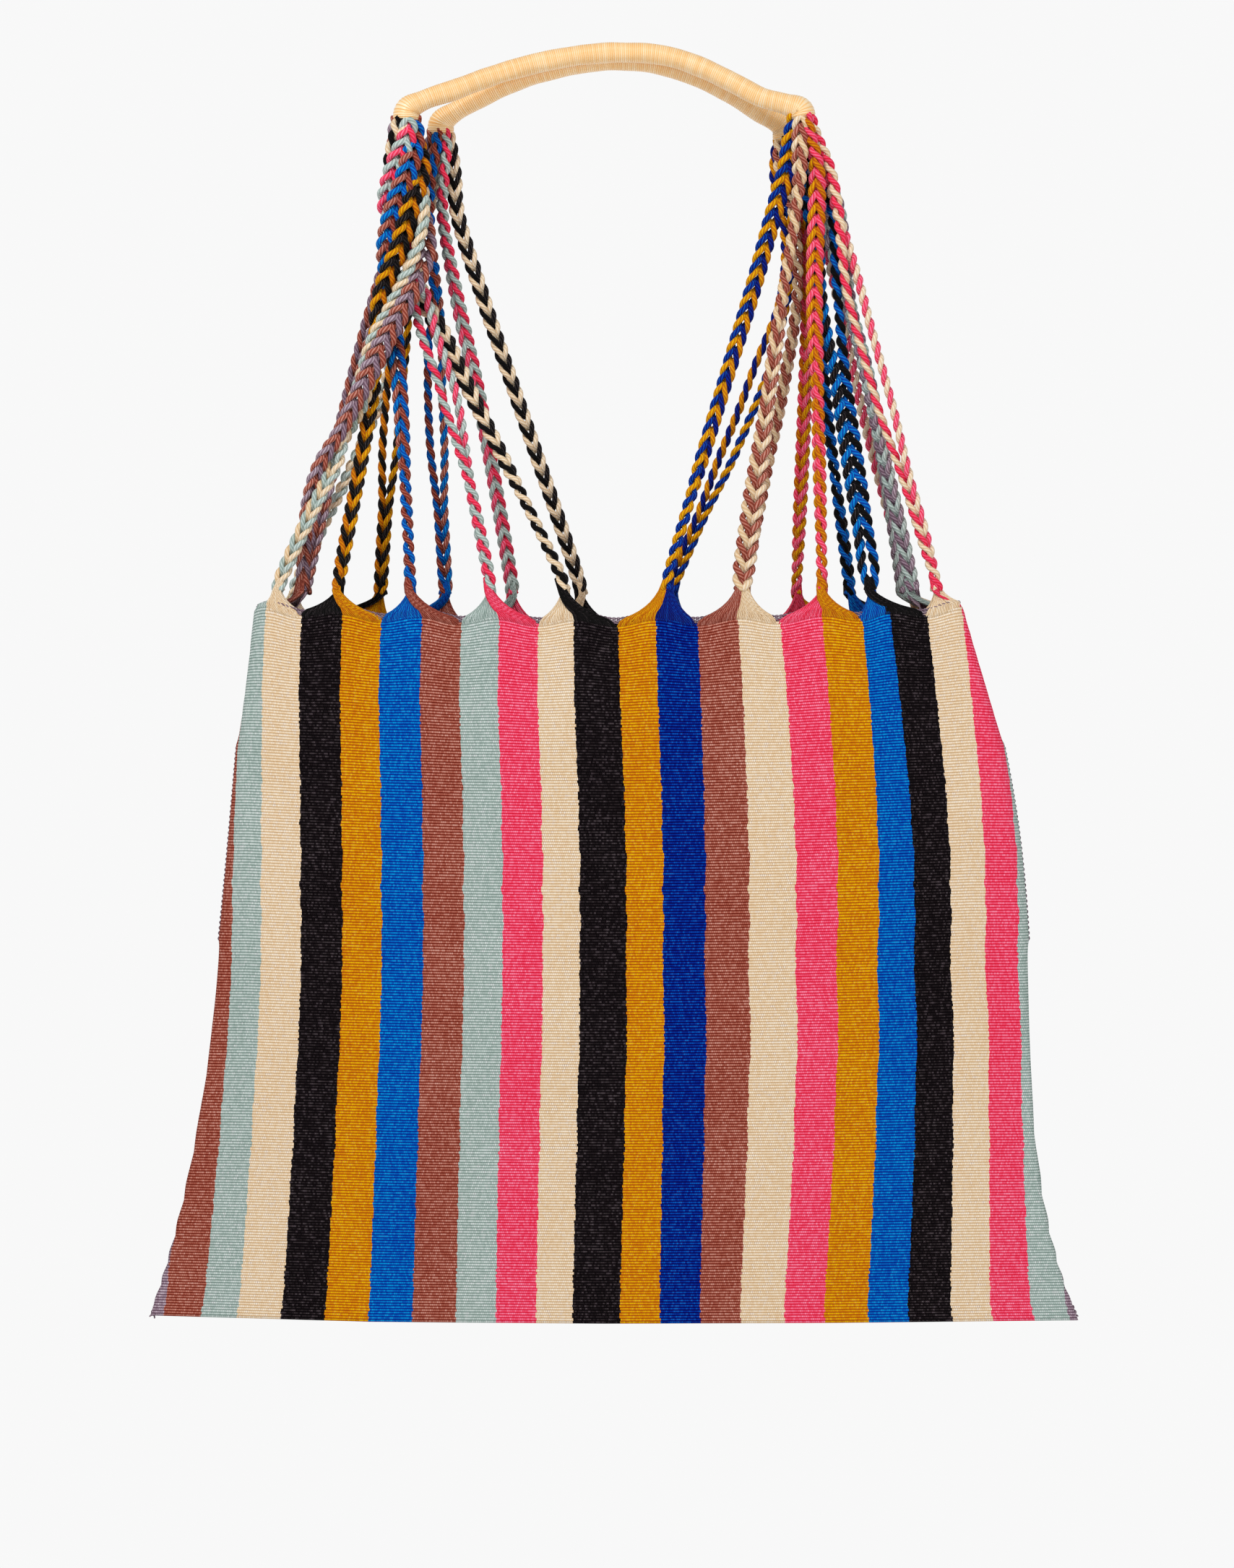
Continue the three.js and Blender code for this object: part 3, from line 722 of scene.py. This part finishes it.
def make_grip(side):
    rough = catmull(GRIP_LINES[side], 200)
    length = distances(rough)[-1]
    line = resample(rough, int(length / WINDING_PITCH * STEPS_A_TURN))
    along = distances(line)
    from_end = np.minimum(along, length - along)
    knob = (KNOB_RADIUS - GRIP_RADIUS) * (1 - smooth(from_end, KNOB_INSIDE, KNOB_OUTSIDE))
    tuck = TUCK * (1 - smooth(from_end, 0, TUCK_OVER))
    angle = np.linspace(0, 1, GRIP_SIDES, endpoint=False)
    turns = along[:, None] / WINDING_PITCH - angle[None, :]
    ridge = RIDGE_HEIGHT * np.abs(np.cos(math.pi * turns))
    radius = (GRIP_RADIUS + knob[:, None] - tuck[:, None] + ridge
              + LUMP_HEIGHT * grip_lumps(along, angle))
    shape = Shape()
    shape.tube(line, radius, GRIP_SIDES)
    piece = shape.build(f"{side}_grip_winding", [winding_material()])
    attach(piece, f"{side}_handle")
    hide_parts(f"{side}_grip_wrap")

    core = Shape()
    inner = resample(rough, ROUTE_STEPS)
    _, normal, across = frames(inner, FRONT)
    for k in range(CORE_YARNS):
        orbit = 0 if k == 0 else CORE_ORBIT
        turn = 2 * math.pi * (k / (CORE_YARNS - 1) + distances(inner) / CORE_LAY)
        offset = np.cos(turn)[:, None] * across + np.sin(turn)[:, None] * normal
        core.tube(inner + orbit * offset, CORE_YARN_RADIUS, STRAND_SIDES)
    bundle = core.build(f"{side}_grip_bundle", [YARNS["cream"]])
    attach(bundle, f"{side}_handle")
    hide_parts(f"{side}_grip_core")


for side in CORDS:
    make_grip(side)


# ---- Cloth ----
# Here t is a height's share of the cloth: 0 at the fold and 1 at the rim.
BEND_POINTS = 9
FRONT_POINTS = 41


def edge(side, t):
    rim, taper, flare, bulge = EDGES[side]
    return (rim + taper * (1 - t) + flare * (1 - t) ** 4
            + bulge * math.sin(math.pi * t ** 1.4))


def half_depth(t):
    return WALL + (MOUTH_HALF_DEPTH - WALL) * (1 - (1 - t) ** 1.5)


def rim_height(x):
    reach = EDGES["left"][0] if x < 0 else EDGES["right"][0]
    return RIM_Z - RIM_DIP * max(0, 1 - (x / reach) ** 2)


def seam_inset(t):
    depth = half_depth(t) - BOW * t
    spare = (CLOTH_WIDTH - RIM_PUCKER * t - edge("left", t) - edge("right", t)) / 2
    return math.sqrt(max(0.25, spare ** 2 - depth ** 2))


def side_points(side, t, inset):
    """The seam's tip, the folded-in arm and the rounded corner, in plan."""
    depth = half_depth(t) - BOW * t
    fold = math.atan2(depth, seam_inset(t))
    corner = np.array([edge(side, t) - inset / math.tan(fold / 2), inset - depth])
    tip = np.array([edge(side, t) - seam_inset(t) - inset / math.sin(fold), 0])
    curl = CORNER_ROUND * (depth - inset)
    arm = tip - corner
    arm_start = corner + arm * curl / np.linalg.norm(arm)
    front_start = corner - np.array([curl, 0])
    u = np.linspace(0, 1, BEND_POINTS)[:, None]
    bend = (1 - u) ** 2 * arm_start + 2 * u * (1 - u) * corner + u ** 2 * front_start
    points = np.vstack([tip, bend])
    return points * [-1, 1] if side == "left" else points


def section(t, inset):
    """The front half of the section in plan, from the left seam to the right one."""
    left = side_points("left", t, inset)
    right = side_points("right", t, inset)[::-1]
    u = np.linspace(0, 1, FRONT_POINTS)[1:-1, None]
    front = left[-1] * (1 - u) + right[0] * u
    front[:, 1] -= BOW * t * 4 * (u * (1 - u))[:, 0]
    return np.vstack([left, front, right])


# Where each stripe ends along the warp at the fold, halfway up and at the rim.
WARP_AT_FOLD, WARP_HALFWAY, WARP_AT_RIM = (
    np.concatenate([[0], np.cumsum([stripe[k] for stripe in STRIPES])]) for k in (1, 2, 3))
PAIR_CENTRES = [(WARP_AT_FOLD[2 * k] + WARP_AT_FOLD[2 * k + 2]) / 2 for k in range(len(PAIRS))]

COLUMNS = 168
ROWS = 150
INNER_ROWS = 38
INSIDE_BOTTOM = 0.004

# The weft's count goes on from the front to the back panel by this much.
BACK_WEFT = 450

# How much higher than its lowest line the fold hangs, across the bag.
FOLD_RISE_AT = (-234, -120, 0, 120, 247)
FOLD_RISE = (5.5, 2.2, 1.2, 1.6, 3.0)

# Soft unevenness: how far apart the swells and the upright creases are across and up the bag,
# and how deep they are.
SWELL_ACROSS, SWELL_UP, SWELL_DEPTH = 70, 110, 2.6
CREASE_ACROSS, CREASE_UP, CREASE_DEPTH = 17, 160, 0.7

# The rim's arches: share of the height that they reach down, their depth and their rise.
PUCKER_REACH = 26 / 372
PUCKER_DEPTH = 1.0
PUCKER_RISE = 1.7


def warp_share(warp, t):
    """Where warp yarns lie along the section at height t, as a share of its length."""
    fold, half, rim = (np.interp(warp, WARP_AT_FOLD, ends) / ends[-1]
                       for ends in (WARP_AT_FOLD, WARP_HALFWAY, WARP_AT_RIM))
    return fold * (1 - t) * (1 - 2 * t) + half * 4 * t * (1 - t) + rim * t * (2 * t - 1)


SWAY_CURVE = catmull(SWAY, 200)


def sway(share, t):
    """The stripes' sway at height t, for shares across the panel; none at the two seams."""
    left, right = (np.interp(t, SWAY_CURVE[:, 0], SWAY_CURVE[:, k]) for k in (1, 2))
    return np.interp(share, [0, 0.07, 0.35, 0.65, 0.93, 1], [0, left, left, right, right, 0])


def cloth_points(t, inset, warp, back):
    """Points of one panel at height t, with the cloth's soft unevenness."""
    plan = section(t, inset)
    along = distances(plan)
    at = warp_share(warp, t) * along[-1]
    at = at + sway(at / along[-1], t)
    x = np.interp(at, along, plan[:, 0])
    y = np.interp(at, along, plan[:, 1])
    z = np.array([FOLD_Z + (rim_height(v) - FOLD_Z) * t for v in x])
    z = z + (1 - t) ** 3 * np.interp(x, FOLD_RISE_AT, FOLD_RISE)
    share = at / along[-1]
    calm = np.clip(np.sin(math.pi * share), 0, 1) ** 0.5 * min(1, 8 * t)
    seed = 7.3 if back else 0.0
    swell = np.array([noise.noise(Vector((a / SWELL_ACROSS, c / SWELL_UP, seed)))
                      for a, c in zip(x, z)])
    crease = np.array([noise.noise(Vector((a / CREASE_ACROSS, c / CREASE_UP, seed + 3)))
                       for a, c in zip(x, z)])
    y = y - calm * (SWELL_DEPTH * swell + CREASE_DEPTH * crease)
    pucker = math.exp(-(1 - t) / PUCKER_REACH)
    pleat = np.cos(2 * math.pi * np.interp(warp, PAIR_CENTRES, range(len(PAIRS))))
    y = y - calm * PUCKER_DEPTH * pucker * pleat
    z = z + PUCKER_RISE * pucker * pleat
    if back:
        y = -y
    return np.stack([x, y, z], axis=1)


def make_cloth():
    warp = np.linspace(0, WARP_AT_FOLD[-1], COLUMNS + 1)
    height = rim_height(0) - FOLD_Z

    def ring(t, inset):
        front = cloth_points(t, inset, warp, False)
        back = cloth_points(t, inset, warp, True)[::-1]
        return np.vstack([front, back[1:-1]])

    outer_t = np.linspace(1, 0, ROWS + 1)
    inner_t = np.linspace(INSIDE_BOTTOM, 1, INNER_ROWS + 1)
    rings = [ring(t, 0) for t in outer_t] + [ring(t, CLOTH_THICKNESS) for t in inner_t]
    wefts = [height * t for t in outer_t] + [height * t for t in inner_t]
    around = len(rings[0])
    points = np.vstack(rings)
    warps = np.tile(np.concatenate([warp, warp[::-1][1:-1]]), len(rings))
    back_weft = np.concatenate([np.zeros(len(warp)), np.full(around - len(warp), BACK_WEFT)])
    weft = np.concatenate([w + back_weft for w in wefts])
    faces = []
    total = len(rings)
    for r in range(total):
        if r == ROWS:
            continue
        n = (r + 1) % total
        for i in range(around):
            j = (i + 1) % around
            faces.append([r * around + i, r * around + j, n * around + j, n * around + i])
    half = len(warp) - 1
    for start, flipped in ((ROWS * around, False), ((ROWS + 1) * around, True)):
        for i in range(half):
            face = []
            for k in (i, i + 1, (around - i - 1) % around, (around - i) % around):
                if start + k not in face:
                    face.append(start + k)
            faces.append(face[::-1] if flipped else face)
    mesh = bpy.data.meshes.new("striped_cloth")
    mesh.from_pydata((points * MM).tolist(), [], faces)
    for name, values in (("warp", warps), ("weft", weft)):
        attribute = mesh.attributes.new(name, "FLOAT", "POINT")
        attribute.data.foreach_set("value", values.astype(np.float32))
    mesh.materials.append(cloth_material())
    mesh.polygons.foreach_set("use_smooth", [True] * len(mesh.polygons))
    mesh.update()
    mesh.validate()
    piece = bpy.data.objects.new("striped_cloth", mesh)
    bpy.context.scene.collection.objects.link(piece)
    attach(piece, "bag")
    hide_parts("bag_cloth")


make_cloth()


# ---- Gathers, headings and seams ----
THREAD_RADIUS = 0.54
THREAD_SPACING = 1.05
THREAD_SIDES = 6
THREAD_STEPS = 11

# The two layers of threads: how far each lies inside the cloth's face.
LAYER_INSETS = (-0.1, 1.1)

# Where a thread starts, inside the cloth, and how it rises from the rim.
ROOT_INSET = 0.5
ROOT_DROP = 2
RIM_LIFT = 2.2

# At the cord's foot: how wide the threads' tops lie, how deep, how far below the foot they
# meet, and how far they run on into the cord.
TOPS_WIDTH = 6.4
TOPS_DEPTH = 1.2
TOPS_DROP = 2.2
TAIL_LENGTH = 6.5

# In the other gathers the second stripe's threads sweep over the first one's.
PLAIN_PAIRS = ("mustard_royal", "brown_cream", "aqua_lilac")

# The heading's twined rows: how high each is over the rim, how far inside the cloth's face, and
# how far from the seams they end.
HEADING_ROWS = (0.4, 1.6, 2.8)
HEADING_INSET = 1.0
HEADING_GAP = 2

# The side stitching: from and to which share of the height, and how far outside the cloth.
SEAM_FROM = 0.012
SEAM_TO = 0.99
SEAM_OUT = 0.4
TWINED_STRANDS = 2


def rim_points(warp, back, inset):
    return cloth_points(1, inset, np.atleast_1d(warp), back)


def thread_line(pair, side, up, layer, share, warp, second):
    """One thread's line: out of the cloth, up from the rim and on into the cord."""
    back = side == "back"
    outward = 1 if back else -1
    foot = np.array(CORDS[side][pair][2][-1], float)
    base = rim_points(warp, back, LAYER_INSETS[layer])[0]
    jitter = noise.noise(Vector((warp, layer * 5.1, 9.7 if back else 2.2)))
    fray = noise.noise(Vector((warp * 3.7, layer * 2.3, 4.4 if back else 8.8)))
    across = (share - 0.5) * TOPS_WIDTH
    depth = (1 - 2 * layer) * TOPS_DEPTH
    if pair not in PLAIN_PAIRS:
        if second:
            across = (share * 2 - 1.5) * 3.4 - 0.9
            depth += 1.5
        else:
            across = (share * 2 - 0.5) * 3.0 + 0.9
            depth -= 1.2
    across += 0.5 * jitter
    top = foot + np.array([across, outward * depth, 0.7 * jitter - TOPS_DROP])
    low = rim_points(warp, back, ROOT_INSET)[0] - [0, 0, ROOT_DROP]
    lift = base + [0.1 * (top[0] - base[0]), 0.1 * (top[1] - base[1]) + 0.7 * fray,
                   RIM_LIFT + 0.5 * fray]
    u = np.linspace(0, 1, 7)[:, None]
    bend = lift + (top - lift) * [0.72, 0.5, 0.3]
    bend += [0.6 * fray, outward * (0.6 + fray), 0.4 * fray]
    curve = (1 - u) ** 2 * lift + 2 * u * (1 - u) * bend + u ** 2 * top
    tail = top + up * TAIL_LENGTH + (foot - top) * [0.25, 0.4, 0]
    return resample(np.vstack([low, curve, tail]), THREAD_STEPS)


def make_gather(side, index):
    pair = PAIRS[index]
    names = (STRIPES[2 * index][0], STRIPES[2 * index + 1][0])
    start, middle, end = WARP_AT_FOLD[2 * index:2 * index + 3]
    route = catmull(cord_route(side, pair), ROUTE_STEPS)
    up = route[-8] - route[-1]
    up /= np.linalg.norm(up)
    count = int((end - start) / THREAD_SPACING)
    outward = 1 if side == "back" else -1
    shape = Shape()
    for layer in range(len(LAYER_INSETS)):
        for k in range(count):
            share = (k + 0.5 + 0.35 * layer) / count
            warp = start + (end - start) * min(share, 0.995)
            second = warp > middle
            line = thread_line(pair, side, up, layer, share, warp, second)
            shape.tube(line, THREAD_RADIUS, THREAD_SIDES, toward=(0, outward, 0.01),
                       number=int(second))
    piece = shape.build(f"{side}_gather_{pair}_threads", [YARNS[n] for n in names])
    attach(piece, "bag")
    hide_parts(f"{side}_gather_{pair}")


for side in CORDS:
    for index in range(len(PAIRS)):
        make_gather(side, index)


def twined(shape, line, radius, orbit, period, toward):
    """Strands that run round a line, one turn for each period."""
    along = distances(line)
    _, normal, across = frames(line, np.array(toward, float))
    for k in range(TWINED_STRANDS):
        turn = 2 * math.pi * (along / period + k / TWINED_STRANDS)
        offset = np.cos(turn)[:, None] * across + np.sin(turn)[:, None] * normal
        shape.tube(line + orbit * offset, radius, THREAD_SIDES, toward=toward)


def make_heading(side):
    back = side == "back"
    shape = Shape()
    warp = np.linspace(HEADING_GAP, WARP_AT_FOLD[-1] - HEADING_GAP, 900)
    for rise in HEADING_ROWS:
        row = rim_points(warp, back, HEADING_INSET)
        row[:, 2] += rise
        twined(shape, resample(row, 1500), radius=0.36, orbit=0.38, period=4.6, toward=(0, 0, 1))
    piece = shape.build(f"{side}_rim_twining", [YARNS["lilac"]])
    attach(piece, "bag")
    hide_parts(f"{side}_rim_heading")


def make_seam(side):
    out = -SEAM_OUT if side == "left" else SEAM_OUT
    line = []
    for t in np.linspace(SEAM_FROM, SEAM_TO, 60):
        tip = side_points(side, t, 0)[0]
        line.append((tip[0] + out, 0, FOLD_Z + (RIM_Z - FOLD_Z) * t))
    line = resample(np.array(line), 900)
    shape = Shape()
    twined(shape, line, radius=0.4, orbit=1.3, period=5.5, toward=FRONT)
    piece = shape.build(f"{side}_side_stitching", [YARNS["lilac"]])
    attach(piece, "bag")
    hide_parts(f"{side}_side_seam")


for side in CORDS:
    make_heading(side)
for side in ("left", "right"):
    make_seam(side)


# ---- Ground and light ----
# In metres. The wall behind the bag stands further off than the camera.
FLOOR_Z = -0.86
STAGE_HALF = 5
COVE_RADIUS = 0.8
WALL_TOP = 3.0
PALE = 0.94
AMBIENT = 0.5


def make_stage():
    profile = [(-STAGE_HALF, FLOOR_Z)]
    for angle in np.linspace(0, math.pi / 2, 17):
        profile.append((STAGE_HALF - COVE_RADIUS * (1 - math.sin(angle)),
                        FLOOR_Z + COVE_RADIUS * (1 - math.cos(angle))))
    profile.append((STAGE_HALF, WALL_TOP))
    points = []
    faces = []
    for y, z in profile:
        points += [(-STAGE_HALF, y, z), (STAGE_HALF, y, z)]
    for i in range(len(profile) - 1):
        faces.append([2 * i, 2 * i + 1, 2 * i + 3, 2 * i + 2])
    mesh = bpy.data.meshes.new("ground")
    mesh.from_pydata(points, [], faces)
    nodes = Nodes("ground", roughness=1.0, sheen=0)
    nodes.shader.inputs["Base Color"].default_value = (0, 0, 0, 1)
    nodes.shader.inputs["Specular IOR Level"].default_value = 0
    nodes.shader.inputs["Emission Color"].default_value = (PALE, PALE, PALE, 1)
    nodes.shader.inputs["Emission Strength"].default_value = 1.0
    mesh.materials.append(nodes.material)
    mesh.polygons.foreach_set("use_smooth", [True] * len(mesh.polygons))
    ground = bpy.data.objects.new("ground", mesh)
    bpy.context.scene.collection.objects.link(ground)


def add_light(name, place, aim, size, power):
    data = bpy.data.lights.new(name, "AREA")
    data.shape = "RECTANGLE"
    data.size, data.size_y = size
    data.energy = power
    light = bpy.data.objects.new(name, data)
    light.location = place
    direction = Vector(aim) - Vector(place)
    light.rotation_euler = direction.to_track_quat("-Z", "Y").to_euler()
    bpy.context.scene.collection.objects.link(light)


make_stage()
world = bpy.data.worlds.new("studio")
world.use_nodes = True
background = world.node_tree.nodes["Background"]
background.inputs["Color"].default_value = (1, 1, 1, 1)
ray = world.node_tree.nodes.new("ShaderNodeLightPath")
seen = world.node_tree.nodes.new("ShaderNodeMapRange")
seen.inputs["To Min"].default_value = AMBIENT
seen.inputs["To Max"].default_value = PALE
world.node_tree.links.new(ray.outputs["Is Camera Ray"], seen.inputs["Value"])
world.node_tree.links.new(seen.outputs[0], background.inputs["Strength"])
bpy.context.scene.world = world
add_light("key", (-0.9, -1.9, 1.6), (0, 0, -0.3), (0.8, 0.8), 40)
add_light("fill", (1.8, -2.4, 0.0), (0, 0, -0.35), (1.6, 1.6), 12)

scene = bpy.context.scene
scene.view_settings.view_transform = "Standard"
scene.view_settings.look = "None"
